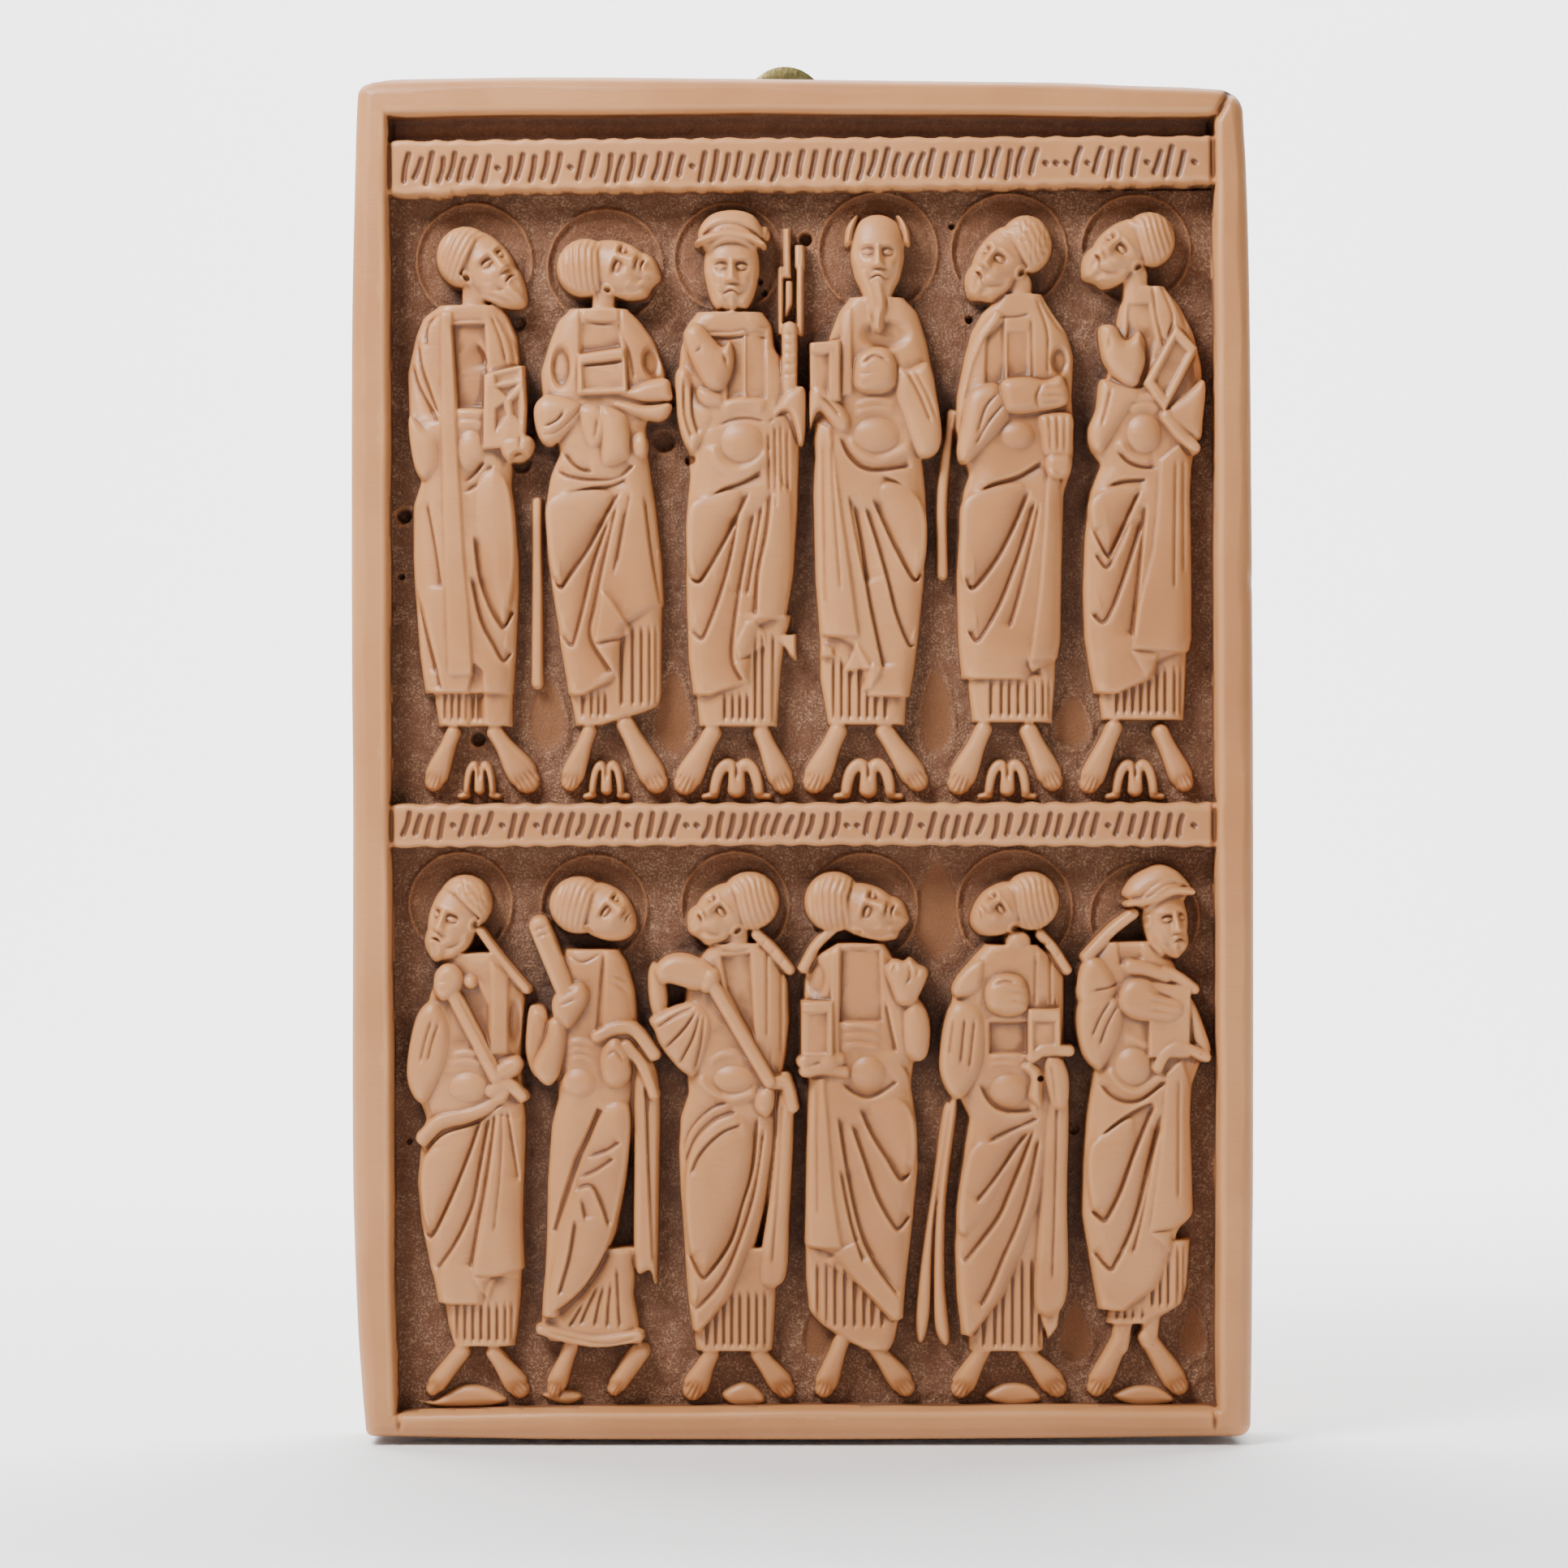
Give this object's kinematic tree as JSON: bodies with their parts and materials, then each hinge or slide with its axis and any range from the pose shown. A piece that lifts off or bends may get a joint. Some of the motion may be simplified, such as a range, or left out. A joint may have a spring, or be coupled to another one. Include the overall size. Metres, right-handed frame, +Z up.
{
  "type": "apostle relief plaque",
  "caption": "Small cast wall plaque with two rows of standing robed saints in relief inside a raised frame, hung by a brass ring let into its back.",
  "frame": {"origin": "where the nail carries the ring: the top of the hanging ring's hole, in the plane of the back that lies on the wall", "axes": "+Z up, -Y out of the wall towards the viewer, +X to the viewer's right"},
  "size_m": [0.1118, 0.014, 0.1717],
  "materials": {
    "cast_stone": "cast resin-bound stone, ivory to honey colour, waxed, with a brown stain left in the carving",
    "old_brass": "tarnished, mottled brown and green, dark at the edges"
  },
  "bodies": {
    "root": {"plaque": "cast_stone", "hanging_ring": "old_brass"}
  },
  "joints": []
}
